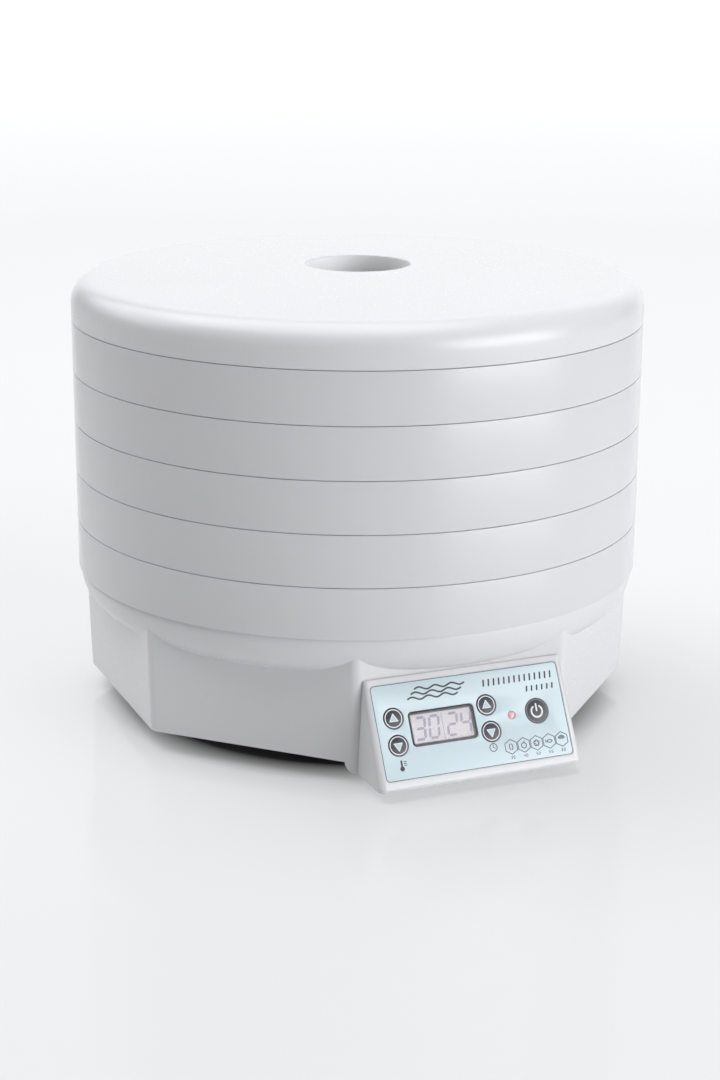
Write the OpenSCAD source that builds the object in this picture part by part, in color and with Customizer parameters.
// Round stacking food dehydrator: an octagonal base that holds the fan, the heater and the
// electronics, a sloping control pod, five nesting trays and a vented lid.
// Everything is drawn about the stack's own axis with the control pod towards -Y, and is then
// shifted so that the origin lies on the worktop, under the middle of the whole machine.

/* [Stack] */
// Outer radius of the trays and the lid
tray_r = 170; // [169:0.5:172]
// Height that each tray adds to the stack
tray_pitch = 29.9; // [29.5:0.1:34]
// Height of the lowest tray's edge above the worktop
stack_z = 86.2; // [86:0.1:90]
// Thickness of the tray, lid and housing walls
wall = 2.2; // [2:0.1:2.4]
// Radius of the air hole through the middle of each tray
tray_hole_r = 33; // [32:0.5:36]

/* [Lid] */
// Radius of the vent hole in the lid
vent_r = 31; // [26:0.5:31]
// Height of the upright part of the lid's side
lid_side_h = 9.1; // [7:0.1:11]
// Radius of the lid's rounded shoulder
lid_corner_r = 15; // [12:0.5:18]
// Radius of the shallow dome
lid_dome_r = 2150; // [2000:50:2400]

/* [Base] */
// Half the distance across the octagonal skirt's flats, at its lower edge
skirt_half = 153; // [151:0.1:153.4]
// How far each skirt wall leans outward as it rises, in degrees
skirt_draft = 1.5; // [1.2:0.1:1.6]
// Height of the skirt's lower edge above the worktop
skirt_z = 12.5; // [11.5:0.1:12.8]
// Radius of the base's round rim, just under the lowest tray
rim_r = 168.5; // [168:0.1:168.8]
// Radius of the bowl's curve between the rim and the skirt
bowl_curve = 21.5; // [21:0.1:22]
// Radius of the grille that the air enters by
intake_r = 60; // [56:1:61]

/* [Control pod] */
// How far the control face leans back from upright, in degrees
face_lean = 28.84; // [28:0.01:29.2]
// Distance of the face's lower edge in front of the stack axis
face_foot_y = 186.3; // [186:0.1:187]
// Half the width of the pod
pod_half_w = 62; // [61:0.5:62.5]
// Width of the printed label
label_w = 114.8; // [112:0.1:116]
// Height of the printed label
label_h = 53.8; // [52:0.1:54]
// Radius of the four arrow buttons
arrow_r = 6; // [5.5:0.1:6.2]
// Radius of the power button
power_r = 7.2; // [6.5:0.1:7.5]
// How far a button travels
button_travel = 0.6; // [0.4:0.1:0.6]

/* [Fan and heater] */
// Radius of the fan's blade tips
fan_r = 58; // [54:1:59]
// Number of fan blades
blade_count = 6; // [4:1:7]
// Radius of the motor shaft
shaft_r = 2; // [1.8:0.1:2]
// Radial clearance between the shaft and its bushes
running_gap = 0.05; // [0.03:0.01:0.08]

/* [Hidden] */
$fn = 96;
tray_count = 5;

white_plastic = [0.93, 0.93, 0.95];
dark_plastic = [0.2, 0.2, 0.22];
grey_rubber = [0.3, 0.3, 0.31];
steel = [0.7, 0.71, 0.73];
copper = [0.72, 0.42, 0.25];
brass = [0.8, 0.66, 0.35];
board_green = [0.12, 0.38, 0.2];
label_blue = [0.81, 0.87, 0.9];

// Nesting: a thin lip rises from each rim into the ring above it
lip_gap = 0.5;
lip_w = 2.1;
lip_up = 3.5;
lip_r = tray_r - wall - lip_gap;
inner_wall_r = 150;
grid_z = 4.5;
grid_t = 2.5;
collar_top = 12;
screw_gap = 0.1;

// Levels inside the base
plate_z = skirt_z + 0.3;
plate_t = 2.5;
plate_top = plate_z + plate_t;
duct_z = 64;
duct_t = 2.5;
duct_top = duct_z + duct_t;
deck_z = 81;
deck_t = 2.5;
deck_r = 164.9;
ledge_in = 161;
rim_in = 165.2;
bowl_centre = [rim_r - bowl_curve, stack_z - 3];
skirt_top = 77;
plate_half = skirt_half - wall - 0.7;
boss_ring_r = 148;
boss_at = [for (k = [0:3]) boss_ring_r * [cos(22.5 + 90 * k), sin(22.5 + 90 * k)]];
screw_r = 1.5;
screw_l = 14;
leg_at = [for (a = [60, 120, 240, 300]) 100 * [cos(a), sin(a)]];
foot_reach = 79;
foot_r = 11;
foot_pin_r = 4;
port_size = [34, 16];
port_centre = [-20, 23];

// Motor, drawn about its shaft
core_z = 22.8;
core_t = 18;
core_top = core_z + core_t;
core_half_w = 24;
core_y = [-17, 45];
rotor_r = 12.7;
limb_y = [33, 45];
coil_t = 6.5;
coil_half_w = 12;
coil_z = 73;
heater_reach = 68;
bracket_t = 2;
bracket_rise = 5;
bush_r = 4.5;
motor_bolts = [[-18.5, -12.5], [18.5, -12.5], [-18.5, 26], [18.5, 26]];
fan_z = 50;
fan_h = 12;

// Electronics on the base plate
board_lift = 7.5;
board_t = 1.6;
power_board_at = [-108, 0];
power_board_size = [64, 84];
power_board_top = plate_top + board_lift + board_t;
solder_gap = 0.6;
board_posts = [for (x = [-1, 1]) for (y = [-1, 1])
    power_board_at + [x * (power_board_size.x / 2 - 4), y * (power_board_size.y / 2 - 4)]];
gland_at = [-40, 30];
cord_hole_r = 3.6;
gland_r = 6;
probe_at = [-92, 40];
cutout_at = [92, 36];
heater_hole_at = [-80, -14];

// Control face: u runs right, v runs up the slope, w stands out of it, from the label's centre
face_foot_z = 5.8;
pod_bottom = 5.5;
pod_top = 61.7;
label_rise = 33.65;
label_y = -(face_foot_y - label_rise * sin(face_lean));
label_z = face_foot_z + label_rise * cos(face_lean);
pod_gap = 0.4;
pod_edge_r = 4.5;
pod_wall = 2.2;
pod_boss_z = [20, 47];
fascia_t = 3;
recess = 0.6;
label_t = 0.45;
button_gap = 0.12;
flange_t = 0.8;
arrow_buttons = [[-46.5, 7.6], [-46.5, -7.5], [9.9, 7.7], [9.9, -7.4]];
power_button_at = [39.8, 0.3];
led_at = [24, 0];
led_r = 2.3;
display_at = [-18, 0.1];
display_size = [39.7, 19.5];
display_corner = 2.5;
bezel_w = 1;
control_board_w = -9.5;
control_board_u = [-54, 54];
control_board_v = [-23, 11.5];
control_posts = [[-51, -20], [0, -20], [51, -20], [51, 8.5]];
switch_top = -5.6;

// The whole machine's depth runs from the pod's lower edge to the back of the trays
stack_y = (face_foot_y - tray_r) / 2;

// ---------- shared shapes ----------

function arc(centre, r, from, to, steps, first = 0) =
    [for (i = [first:steps]) let (a = from + (to - from) * i / steps)
        centre + r * [cos(a), sin(a)]];
function seam(level) = stack_z + (level - 1) * tray_pitch;
function skirt_at(z) = skirt_half + (z - skirt_z) * tan(skirt_draft);

module at_stack() translate([0, stack_y, 0]) children();
module on_face() translate([0, label_y, label_z]) rotate([90 - face_lean, 0, 0]) children();
module on_motor_bolts() for (p = motor_bolts) translate(p) children();

module on_legs() for (p = leg_at) translate(p) children();
module on_feet() for (x = [-foot_reach, foot_reach], y = [-foot_reach, foot_reach])
    translate([x, y]) children();

module ring_2d(r_in, r_out) difference() {
    circle(r_out);
    circle(r_in);
}

module ring(r_in, r_out, z, h) translate([0, 0, z]) linear_extrude(h) ring_2d(r_in, r_out);

module box(x, y, z) translate([x[0], y[0], z[0]])
    cube([x[1] - x[0], y[1] - y[0], z[1] - z[0]]);

module octagon_2d(half) rotate(22.5) circle(half / cos(22.5), $fn = 8);

// An octagonal block with rounded upright edges, from one height and half width to another
module octagon_block(half_low, half_high, z_low, z_high, corner) {
    sliver = 0.01;
    hull() for (end = [[half_low, z_low], [half_high, z_high - sliver]], k = [0:7])
        rotate(22.5 + 45 * k) translate([(end[0] - corner) / cos(22.5), 0, end[1]])
            cylinder(r = corner, h = sliver, $fn = 32);
}

module rounded_2d(size, corner) {
    square([size.x - 2 * corner, size.y], center = true);
    square([size.x, size.y - 2 * corner], center = true);
    for (x = [-1, 1], y = [-1, 1])
        translate([x * (size.x / 2 - corner), y * (size.y / 2 - corner)]) circle(corner, $fn = 32);
}

// A round-headed screw that points up, its head's seat at the origin
module screw(length, shank_r, head_r, head_h) {
    cylinder(r = shank_r, h = length, $fn = 24);
    translate([0, 0, -head_h]) cylinder(r = head_r, h = head_h, $fn = 32);
}

// A round wire along a smooth curve through the given points
function spline(p0, p1, p2, p3, t) = 0.5 * (2 * p1 + (p2 - p0) * t
    + (2 * p0 - 5 * p1 + 4 * p2 - p3) * t * t + (3 * p1 - p0 - 3 * p2 + p3) * t * t * t);
function smooth(p, steps = 4) = let (n = len(p) - 1) concat(
    [for (i = [0:n - 1], k = [0:steps - 1])
        spline(p[max(i - 1, 0)], p[i], p[i + 1], p[min(i + 2, n)], k / steps)], [p[n]]);
module wire(points, r) {
    sides = 8;
    lean = [0.31, 0.87, 0.38];
    path = smooth(points);
    n = len(path) - 1;
    function along(i) = let (d = path[min(i + 1, n)] - path[max(i - 1, 0)]) d / norm(d);
    function across(i) = let (c = cross(along(i), lean)) c / norm(c);
    skin = [for (i = [0:n], k = [0:sides - 1]) let (a = 360 * k / sides)
        path[i] + r * (cos(a) * across(i) + sin(a) * cross(along(i), across(i)))];
    walls = [for (i = [0:n - 1], k = [0:sides - 1], half = [0, 1])
        let (m = (k + 1) % sides, low = i * sides, high = low + sides)
        half == 0 ? [low + k, high + k, high + m] : [low + k, high + m, low + m]];
    ends = [[for (k = [0:sides - 1]) k], [for (k = [sides - 1:-1:0]) n * sides + k]];
    polyhedron(skin, concat(walls, ends));
}

// ---------- lid and trays ----------

module lid() color(white_plastic) translate([0, 0, seam(tray_count + 1)]) {
    corner_c = [tray_r - lid_corner_r, lid_side_h];
    reach = lid_dome_r - lid_corner_r;
    dome_c = [0, lid_side_h - sqrt(reach * reach - corner_c.x * corner_c.x)];
    blend = 90 - asin(corner_c.x / reach);
    collar_z = 12;
    collar_r = vent_r - 3;
    outer_r = vent_r + wall;
    rotate_extrude() polygon(concat(
        arc(dome_c, lid_dome_r, 90 - asin(vent_r / lid_dome_r), blend, 8),
        arc(corner_c, lid_corner_r, blend, 0, 10, 1),
        [[tray_r, 0], [tray_r - wall, 0]],
        arc(corner_c, lid_corner_r - wall, 0, blend, 10),
        arc(dome_c, lid_dome_r - wall, blend, 90 - asin(outer_r / lid_dome_r), 8, 1),
        [[collar_r + wall, collar_z], [collar_r, collar_z]]));
}

// Double-walled ring: warm air rises between the walls and enters each tray over the inner one
module tray(level) color(white_plastic) translate([0, 0, seam(level)]) {
    shelf_z = tray_pitch - 3.4;
    inner_top = 21;
    rib = [grid_z + 1, 16];
    rotate_extrude() polygon([
        [tray_r - wall, 0], [tray_r, 0], [tray_r, tray_pitch], [lip_r, tray_pitch],
        [lip_r, tray_pitch + lip_up], [lip_r - lip_w, tray_pitch + lip_up],
        [lip_r - lip_w, shelf_z], [tray_r - wall, shelf_z]]);
    ring(inner_wall_r, inner_wall_r + 1.8, grid_z, inner_top - grid_z);
    for (k = [0:11]) rotate(30 * k + 15)
        box([inner_wall_r + 1, tray_r - wall / 2], [-0.9, 0.9], rib);
}

// Floor of a tray: eight framed panels of mesh, side by side round the air hole
module tray_grid(level) color(white_plastic) translate([0, 0, seam(level) + grid_z]) {
    bar = 1.8;
    frame_bar = 2.8;
    slit = 0.1;
    hub_r = tray_hole_r + 2;
    rings = [for (k = [1:4]) tray_hole_r + k * (inner_wall_r - tray_hole_r) / 5];
    for (turn = [0:45:315]) rotate(turn) difference() {
        union() {
            linear_extrude(grid_t) intersection() {
                panel_2d(inner_wall_r);
                union() {
                    ring_2d(tray_hole_r, hub_r);
                    ring_2d(inner_wall_r - 2, inner_wall_r);
                    for (r = rings) ring_2d(r - bar / 2, r + bar / 2);
                    for (a = [15, 30]) rotate(a) spoke_2d(bar);
                    for (a = [0, 45]) rotate(a) spoke_2d(frame_bar);
                }
            }
            linear_extrude(collar_top - grid_z) intersection() {
                panel_2d(hub_r + 1);
                ring_2d(tray_hole_r, hub_r);
            }
        }
        for (a = [0, 45]) rotate(a) translate([0, -slit / 2, -1])
            cube([inner_wall_r + 1, slit, collar_top]);
    }
}

// An eighth of a disc, and one rib of the mesh from the air hole to the tray's inner wall
module panel_2d(reach) intersection() {
    circle(reach);
    polygon([[0, 0], [2 * reach, 0], [2 * reach, 2 * reach]]);
}
module spoke_2d(bar) translate([tray_hole_r + 1, -bar / 2])
    square([inner_wall_r - tray_hole_r - 2, bar]);

// ---------- base shell ----------

// The round bowl under the trays, as a solid of the outer shape less an inset
module bowl(inset, top) rotate_extrude() polygon(concat(
    [[0, bowl_centre.y - bowl_curve + inset]],
    arc(bowl_centre, bowl_curve - inset, -90, 0, 12),
    [[rim_r - inset, top], [0, top]]));

module base_housing() color(white_plastic) {
    inner_top = 68;
    lug_z = 6;
    lug_half_w = 68;
    corner = 8;
    corner_reach = (skirt_half - corner) / cos(22.5) + corner;
    boss_h = 30;
    ledge_t = 2.5;
    difference() {
        union() {
            octagon_block(skirt_at(lug_z), skirt_at(skirt_top), lug_z, skirt_top, corner);
            bowl(0, stack_z);
        }
        difference() {
            box([-200, 200], [-200, 200], [lug_z - 1, skirt_z]);
            box([-lug_half_w, lug_half_w], [-201, -130], [lug_z - 2, skirt_z + 1]);
        }
        octagon_block(skirt_at(lug_z) - wall, skirt_at(inner_top) - wall, lug_z - 1, inner_top,
            corner - wall);
        bowl(wall, stack_z + 1);
        translate([port_centre.x, -skirt_half, port_centre.y])
            cube([port_size.x, 20, port_size.y], center = true);
        translate([gland_at.x, skirt_half, gland_at.y]) rotate([90, 0, 0])
            cylinder(r = gland_r + screw_gap, h = 20, center = true);
        on_pod_bosses() cylinder(r = screw_r + 0.3, h = 30, center = true, $fn = 24);
    }
    ring(rim_in, lip_r, stack_z - 4, 4 + lip_up);
    ring(ledge_in, rim_in + 1, deck_z - ledge_t, ledge_t);
    for (k = [0:3]) rotate(22.5 + 90 * k) difference() {
        union() {
            translate([boss_ring_r, 0, plate_top]) cylinder(r = 5, h = boss_h);
            box([boss_ring_r, corner_reach - 0.6], [-1, 1], [plate_top, plate_top + boss_h]);
        }
        translate([boss_ring_r, 0, plate_top - 1])
            cylinder(r = screw_r + screw_gap, h = screw_l, $fn = 24);
    }
}

// Floor of the drying space, with the ring of slots that the warm air leaves by
module plenum_deck() color(white_plastic) translate([0, 0, deck_z]) {
    slot_rib = 5;
    drip_rim_h = 2;
    linear_extrude(deck_t) difference() {
        circle(deck_r);
        difference() {
            ring_2d(151.5, 159.5);
            for (k = [0:23]) rotate(15 * k) translate([150, -slot_rib / 2]) square([11, slot_rib]);
        }
        on_legs() circle(screw_r + 0.3, $fn = 24);
    }
    ring(146, 148, deck_t, drip_rim_h);
}

// Shroud round the fan, with the floor that divides the heated space from the intake side
module air_duct() color(dark_plastic) difference() {
    shroud_z = 44;
    shroud_r = fan_r + 4;
    union() {
        translate([0, 0, duct_z]) linear_extrude(duct_t) octagon_2d(plate_half);
        translate([0, 0, shroud_z]) cylinder(r = shroud_r + 3, h = duct_top - shroud_z);
        on_legs() translate([0, 0, plate_top]) cylinder(r = 5, h = duct_z - plate_top);
        on_legs() translate([0, 0, duct_top]) cylinder(r = 4.5, h = deck_z - duct_top);
    }
    cylinder(r = shroud_r, h = deck_z);
    translate([heater_hole_at.x, heater_hole_at.y, duct_z - 1]) cylinder(r = 3.5, h = duct_t + 2);
    on_legs() translate([0, 0, plate_top - 1])
        cylinder(r = screw_r + screw_gap, h = screw_l, $fn = 24);
    on_legs() translate([0, 0, deck_z - screw_l])
        cylinder(r = screw_r + screw_gap, h = screw_l + 1, $fn = 24);
}

module base_plate() color(dark_plastic) {
    translate([0, 0, plate_z]) linear_extrude(plate_t) {
        difference() {
            octagon_2d(plate_half);
            circle(intake_r);
            on_feet() circle(foot_pin_r + screw_gap, $fn = 32);
            on_legs() circle(screw_r + 0.3, $fn = 24);
            for (p = boss_at) translate(p) circle(screw_r + 0.3, $fn = 24);
        }
        circle(8);
        for (r = [15, 30, 45]) ring_2d(r - 1.2, r + 1.2);
        for (k = [0:11]) rotate(30 * k) translate([6, -1.3]) square([intake_r - 5, 2.6]);
        on_motor_bolts() circle(6);
    }
    difference() {
        union() {
            on_motor_bolts() translate([0, 0, plate_top]) cylinder(r = 4.5, h = 2.5);
            for (p = board_posts) translate([p.x, p.y, plate_top]) cylinder(r = 3.5, h = board_lift);
        }
        on_motor_bolts() translate([0, 0, plate_top + 0.2])
            cylinder(r = screw_r + screw_gap, h = 5, $fn = 24);
        for (p = board_posts) translate([p.x, p.y, plate_top + 1])
            cylinder(r = screw_r + screw_gap, h = board_lift, $fn = 24);
    }
}

module feet() color(grey_rubber) on_feet() {
    cylinder(r = foot_r, h = plate_z);
    cylinder(r = foot_pin_r, h = plate_top + 1);
}

module base_screws() color(steel) translate([0, 0, plate_z]) {
    for (p = boss_at) translate(p) screw(screw_l, screw_r, 3, 1.8);
    on_legs() screw(screw_l, screw_r, 3, 1.8);
}

module deck_screws() color(steel) on_legs() translate([0, 0, deck_z + deck_t])
    rotate([180, 0, 0]) screw(screw_l - 2, screw_r, 3, 1.8);

// ---------- heater ----------

module coil_rings(r) for (ring_r = [22, 36, 50]) translate([0, 0, coil_z])
    rotate_extrude() translate([ring_r, 0]) circle(r, $fn = 32);

module heater_frame() color("tan") difference() {
    for (turn = [0, 90]) rotate(turn)
        box([-heater_reach, heater_reach], [-0.6, 0.6], [duct_top, deck_z - 1.5]);
    coil_rings(2.1);
}

module heater_coil() color(steel) coil_rings(2);

module thermal_cutout() color(steel) translate([cutout_at.x, cutout_at.y, duct_top]) {
    cylinder(r = 8, h = 5);
    box([-12, 12], [-3, 3], [0, 0.8]);
}

module thermal_fuse() color(white_plastic) translate([-heater_reach + 2, 2.5, 76])
    rotate([0, 90, 0]) cylinder(r = 1.8, h = 11, $fn = 24);

module temperature_probe() color(dark_plastic)
    translate([probe_at.x, probe_at.y, duct_top]) {
        cylinder(r = 2, h = 9, $fn = 32);
        translate([0, 0, 9]) sphere(r = 2.6, $fn = 32);
    }

// ---------- motor and fan ----------

module motor_core() color(steel) translate([0, 0, core_z]) linear_extrude(core_t) difference() {
    translate([-core_half_w, core_y[0]]) square([2 * core_half_w, core_y[1] - core_y[0]]);
    circle(rotor_r + 0.5);
    translate([-coil_half_w - 1, 19]) square([2 * coil_half_w + 2, limb_y[0] - 19]);
    on_motor_bolts() circle(2, $fn = 24);
}

module motor_winding() color(copper) difference() {
    slack = 0.1;
    box([-coil_half_w, coil_half_w], [limb_y[0] - coil_t, limb_y[1] + coil_t],
        [core_z - coil_t, core_top + coil_t]);
    box([-coil_half_w - 1, coil_half_w + 1], [limb_y[0] - slack, limb_y[1] + slack],
        [core_z - slack, core_top + slack]);
}

// Draws its child above the core, and its mirror image below
module above_and_below() {
    translate([0, 0, core_top]) children();
    translate([0, 0, core_z]) mirror([0, 0, 1]) children();
}

module motor_brackets() color("silver") above_and_below() difference() {
    union() {
        box([-22, 22], [-7, 7], [bracket_rise, bracket_rise + bracket_t]);
        for (side = [-1, 1]) translate([19.5 * side, 0, bracket_rise / 2])
            cube([5, 14, bracket_rise], center = true);
    }
    cylinder(r = bush_r, h = 20);
}

module bearing_bushes() color(brass) above_and_below() translate([0, 0, 3.2])
    linear_extrude(4) ring_2d(shaft_r + running_gap, bush_r);

module motor_grommets() color(grey_rubber) on_motor_bolts()
    ring(2.2, 5, plate_top + 2.5, core_z - plate_top - 2.5);

module motor_screws() color(steel) on_motor_bolts() translate([0, 0, core_top])
    rotate([180, 0, 0]) screw(core_top - plate_top - 0.4, screw_r, 3.5, 2);

module motor_shaft() color(steel) translate([0, 0, plate_top + 0.3])
    cylinder(r = shaft_r, h = fan_z + fan_h - plate_top - 1);

module motor_rotor() color(steel) ring(shaft_r, rotor_r, core_z - 0.5, core_t + 1);

module fan_impeller() color(dark_plastic) difference() {
    pitch = 38;
    union() {
        translate([0, 0, fan_z - 0.5]) cylinder(r = 9, h = fan_h + 0.5);
        for (k = [0:blade_count - 1]) rotate(360 * k / blade_count) intersection() {
            translate([0, 0, fan_z]) cylinder(r = fan_r, h = fan_h);
            translate([0, 0, fan_z + fan_h / 2]) rotate([pitch, 0, 0])
                box([6, fan_r + 5], [-12, 12], [-0.8, 0.8]);
        }
    }
    translate([0, 0, fan_z - 1]) cylinder(r = shaft_r, h = fan_h + 2);
}

// ---------- electronics in the base ----------

module on_power_board(at) translate([at.x, at.y, power_board_top]) children();

module power_board() color(board_green)
    translate([power_board_at.x, power_board_at.y, power_board_top - board_t])
        linear_extrude(board_t) difference() {
            square(power_board_size, center = true);
            for (p = board_posts) translate(p - power_board_at) circle(screw_r + 0.3, $fn = 24);
        }

module transformer() color(dark_plastic) on_power_board([-118, 18]) {
    box([-17, 17], [-15, 15], [0, 7]);
    box([-14, 14], [-12, 12], [7, 28]);
    box([-17, 17], [-4, 4], [7, 25]);
}

module relay() color(dark_plastic) on_power_board([-90, 8]) box([-8, 8], [-10, 10], [0, 15]);

module terminal_block() color(label_blue) on_power_board([-130, -18]) difference() {
    box([-6, 6], [-14, 14], [0, 12]);
    for (k = [-1:1]) translate([0, 9 * k, 6]) cylinder(r = 2.5, h = 7, $fn = 32);
}

module capacitor() color(dark_plastic) on_power_board([-106, -14]) cylinder(r = 6, h = 20);

module board_screws() color(steel) {
    for (p = board_posts) translate([p.x, p.y, power_board_top])
        rotate([180, 0, 0]) screw(6, screw_r, 3, 1.6);
    on_face() for (p = control_posts) translate([p.x, p.y, control_board_w - board_t])
        screw(6, screw_r, 2.6, 1.4);
}

module cord_gland() color(dark_plastic) translate([gland_at.x, 0, gland_at.y])
    rotate([-90, 0, 0]) {
        ring(cord_hole_r, gland_r, skirt_half - 6, 8);
        ring(cord_hole_r, gland_r + 2.5, skirt_half - 6, 3.6);
        ring(cord_hole_r, gland_r + 2.5, skirt_half + 0.9, 2.8);
    }

module motor_wires() color("black")
    wire([[-coil_half_w, 48.4, 36], [-30, 50, 35], [-56, 42, 34], [-74, 32, 36], [-82, 27, 33],
        [-82, 27, power_board_top + solder_gap]], 1.4);

module heater_wires() color("white")
    wire([[-84, -22, power_board_top + solder_gap], [-84, -21, 34], [-81, -15, 52], [-80, -14, 65],
        [-79, -12, 70], [-74, -5, 72.5], [-heater_reach - 0.2, 0, 73]], 1.5);

module control_harness() color("grey")
    wire([[-20, -165.8, 19.6], [-20, -160, 18.5], [-20, -152, 19.5], [-24, -140, 21],
        [-60, -118, 21], [-92, -86, 21], [-104, -56, 26], [-104, -42, 34],
        [-104, -36, 32], [-104, -35, power_board_top + solder_gap]], 2);

// ---------- control pod ----------

function pod_back(z) = -(skirt_at(z) + pod_gap);
function face_at(z) = -face_foot_y + (z - face_foot_z) * tan(face_lean);

// Places for the pod's four fixing screws, each pointing out of the housing's front wall
module on_pod_bosses() for (side = [-1, 1], z = pod_boss_z)
    translate([52 * side, pod_back(z), z]) rotate([90, 0, 0]) children();

// The wedge that the pod fills, with its two side edges rounded over
module pod_block() intersection() {
    rotate([90, 0, 90]) linear_extrude(2 * pod_half_w, center = true) polygon([
        [pod_back(pod_top), pod_top], [face_at(pod_top), pod_top], [-face_foot_y, face_foot_z],
        [-face_foot_y + 1.5, pod_bottom], [pod_back(pod_bottom), pod_bottom]]);
    on_face() translate([0, 60, 0]) rotate([90, 0, 0]) linear_extrude(120) {
        translate([pod_edge_r - pod_half_w, -60]) square([2 * (pod_half_w - pod_edge_r), 60]);
        translate([-pod_half_w, -60]) square([2 * pod_half_w, 60 - pod_edge_r]);
        for (side = [-1, 1]) translate([side * (pod_half_w - pod_edge_r), -pod_edge_r])
            circle(pod_edge_r, $fn = 48);
    }
}

module slab(low, high) on_face() box([-80, 80], [-50, 50], [low, high]);

module pod_body() color(white_plastic) {
    cavity_top = 54.5;
    inner_w = pod_half_w - pod_wall;
    boss_l = 3.2;
    difference() {
        pod_block();
        slab(-fascia_t, 5);
        box([-inner_w, inner_w], [-face_foot_y, -140], [pod_bottom + pod_wall, cavity_top]);
    }
    difference() {
        on_pod_bosses() {
            cylinder(r = 3.5, h = boss_l);
            box([-1, 1], [-3.5, 3.5], [0, boss_l]);
        }
        on_pod_bosses() translate([0, 0, -1])
            cylinder(r = screw_r + screw_gap, h = boss_l + 2, $fn = 24);
    }
    for (side = [-1, 1], z = pod_boss_z)
        translate([side * (pod_half_w - 4.2), pod_back(z) - boss_l / 2, z])
            cube([6, boss_l, 2], center = true);
}

module button_holes(gap) {
    for (p = arrow_buttons) translate(p) circle(arrow_r + gap);
    translate(power_button_at) circle(power_r + gap);
}

module face_openings() {
    button_holes(button_gap);
    translate(led_at) circle(led_r + screw_gap, $fn = 32);
    translate(display_at) rounded_2d(display_size + [0.2, 0.2], display_corner);
}

module pod_fascia() color(white_plastic) {
    difference() {
        intersection() {
            pod_block();
            slab(-fascia_t, 1);
        }
        on_face() translate([0, 0, -recess]) linear_extrude(2)
            rounded_2d([label_w + 0.3, label_h + 0.3], 2.6);
        on_face() translate([0, 0, -fascia_t - 1]) linear_extrude(fascia_t + 2) face_openings();
    }
    on_face() for (p = control_posts) translate([p.x, p.y, control_board_w]) difference() {
        cylinder(r = 2.5, h = -fascia_t - control_board_w);
        translate([0, 0, -1]) cylinder(r = screw_r + screw_gap, h = 6.4, $fn = 24);
    }
}

module pod_screws() color(steel) on_pod_bosses() translate([0, 0, -pod_gap - wall - 0.2])
    screw(5.6, screw_r, 3, 1.8);

module control_label() color(label_blue) on_face() translate([0, 0, -recess])
    linear_extrude(label_t) difference() {
        rounded_2d([label_w, label_h], 2.5);
        face_openings();
    }

module display_bezel() color(dark_plastic) on_face() translate([0, 0, -fascia_t])
    linear_extrude(fascia_t - 0.1) translate(display_at) difference() {
        rounded_2d(display_size, display_corner);
        rounded_2d(display_size - 2 * [bezel_w, bezel_w], display_corner - bezel_w);
    }

module display_window() color("lightgrey") on_face() translate([0, 0, -1.4])
    linear_extrude(1.1) translate(display_at)
        rounded_2d(display_size - 2 * [bezel_w, bezel_w], display_corner - bezel_w);

module lcd_panel() color("grey") on_face()
    translate([display_at.x, display_at.y, control_board_w])
        linear_extrude(-1.6 - control_board_w) square([36, 16], center = true);

module led_lens() color("pink") on_face() translate([led_at.x, led_at.y, 0]) intersection() {
    dome_r = 2.9;
    shoulder = -0.8;
    translate([0, 0, control_board_w]) cylinder(r = led_r, h = 12);
    union() {
        translate([0, 0, control_board_w]) cylinder(r = 4, h = shoulder - control_board_w);
        translate([0, 0, shoulder - sqrt(dome_r * dome_r - led_r * led_r)])
            sphere(r = dome_r, $fn = 48);
    }
}

module control_board() color(board_green) on_face()
    translate([0, 0, control_board_w - board_t]) linear_extrude(board_t) difference() {
        translate([control_board_u[0], control_board_v[0]]) square([
            control_board_u[1] - control_board_u[0], control_board_v[1] - control_board_v[0]]);
        for (p = control_posts) translate(p) circle(screw_r + 0.3, $fn = 24);
    }

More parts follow.
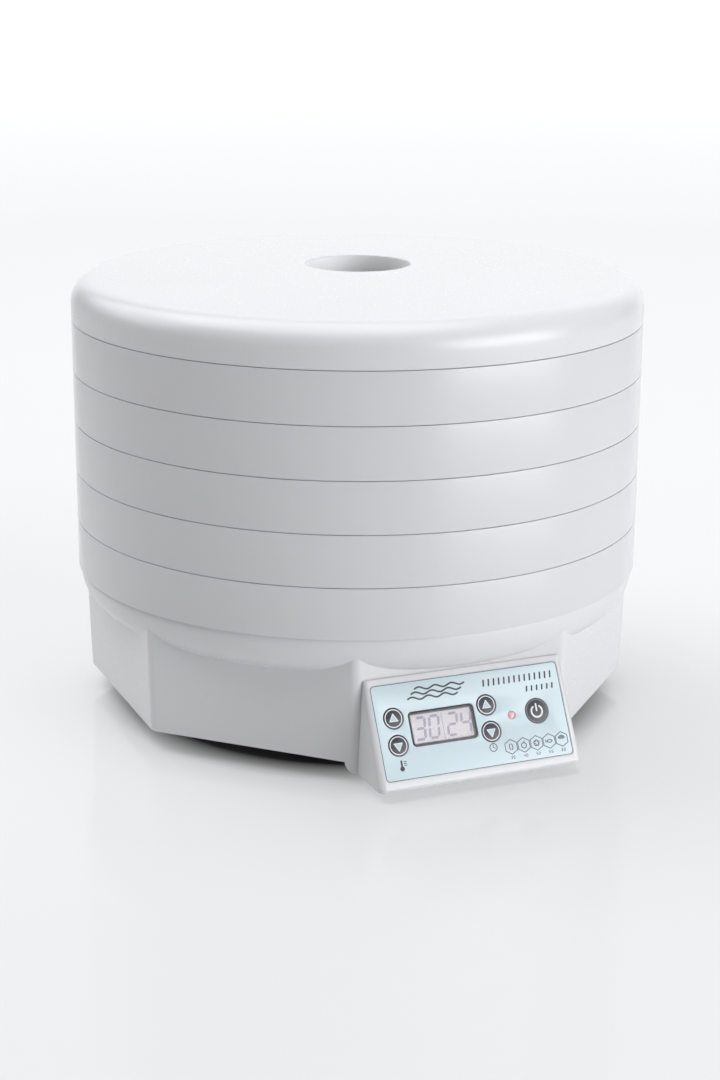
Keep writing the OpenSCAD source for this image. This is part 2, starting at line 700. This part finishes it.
module tact_switches() color(dark_plastic) on_face()
    for (p = concat(arrow_buttons, [power_button_at])) translate([p.x, p.y, control_board_w]) {
        box([-3, 3], [-3, 3], [0, 3]);
        cylinder(r = 1.7, h = switch_top - control_board_w, $fn = 32);
    }

// A key cap, flush with the label, with a flange behind the fascia that stops it coming out
module button(at, r) color(dark_plastic) on_face() translate([at.x, at.y, 0]) {
    flange_top = -fascia_t - 0.05;
    flange_z = flange_top - flange_t;
    stem_z = switch_top + button_travel + 0.2;
    translate([0, 0, flange_z]) cylinder(r = r, h = label_t - recess - flange_z);
    translate([0, 0, flange_z]) cylinder(r = r + 1.1, h = flange_t);
    translate([0, 0, stem_z]) cylinder(r = 1.8, h = flange_z - stem_z + 0.1, $fn = 32);
}

// ---------- the parts, one at a time or all together ----------

for (i = [1:tray_count]) {
    at_stack() tray(i);
    at_stack() tray_grid(i);
}
at_stack() lid();
at_stack() base_housing();
at_stack() plenum_deck();
at_stack() air_duct();
at_stack() base_plate();
at_stack() feet();
at_stack() base_screws();
at_stack() deck_screws();
at_stack() heater_frame();
at_stack() heater_coil();
at_stack() thermal_cutout();
at_stack() thermal_fuse();
at_stack() temperature_probe();
at_stack() motor_core();
at_stack() motor_winding();
at_stack() motor_brackets();
at_stack() bearing_bushes();
at_stack() motor_grommets();
at_stack() motor_screws();
at_stack() motor_shaft();
at_stack() motor_rotor();
at_stack() fan_impeller();
at_stack() power_board();
at_stack() transformer();
at_stack() relay();
at_stack() terminal_block();
at_stack() capacitor();
at_stack() board_screws();
at_stack() cord_gland();
at_stack() motor_wires();
at_stack() heater_wires();
at_stack() control_harness();
at_stack() pod_body();
at_stack() pod_fascia();
at_stack() pod_screws();
at_stack() control_label();
at_stack() display_bezel();
at_stack() display_window();
at_stack() lcd_panel();
at_stack() led_lens();
at_stack() control_board();
at_stack() tact_switches();
at_stack() button(arrow_buttons[0], arrow_r);  // temp_up_button
at_stack() button(arrow_buttons[1], arrow_r);  // temp_down_button
at_stack() button(arrow_buttons[2], arrow_r);  // time_up_button
at_stack() button(arrow_buttons[3], arrow_r);  // time_down_button
at_stack() button(power_button_at, power_r);  // power_button
